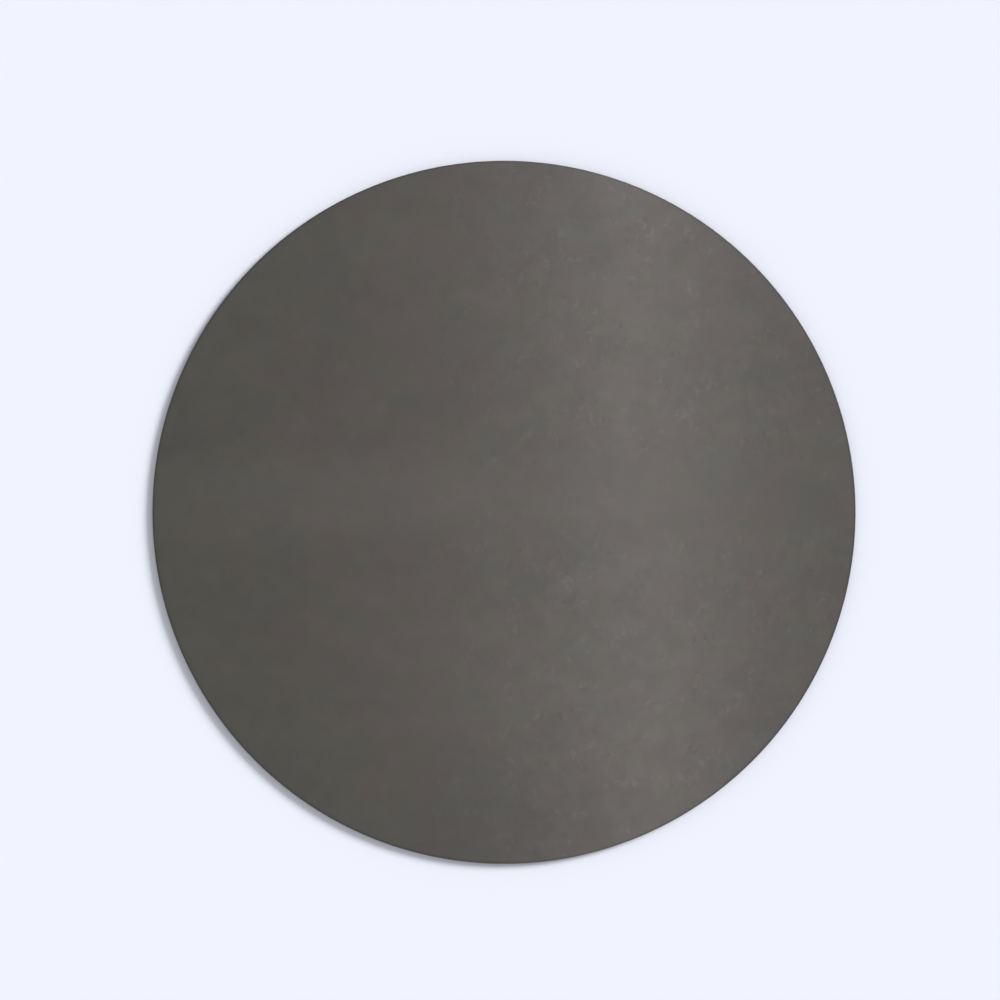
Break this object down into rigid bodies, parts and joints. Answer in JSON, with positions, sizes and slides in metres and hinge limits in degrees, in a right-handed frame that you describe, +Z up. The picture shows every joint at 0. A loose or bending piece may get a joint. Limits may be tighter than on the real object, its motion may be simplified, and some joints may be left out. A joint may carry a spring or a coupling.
{
  "type": "mouse pad",
  "caption": "Thin round mouse pad: a smooth dark grey leatherette face on knitted backing, bonded to a sponge rubber base that grips the desk.",
  "frame": {"origin": "centre of the underside, where the pad lies on the desk", "axes": "+Z up out of the face that the mouse glides on, +Y away from the user towards the top of the picture, +X to the right"},
  "size_m": [0.24, 0.24, 0.0025],
  "materials": {
    "leatherette": "satin",
    "knitted_cloth": "matte",
    "hot_melt": "satin",
    "sponge_rubber": "matte"
  },
  "bodies": {
    "root": {"leatherette_face": "leatherette", "backing_cloth": "knitted_cloth", "adhesive_film": "hot_melt", "rubber_base": "sponge_rubber"}
  },
  "joints": []
}
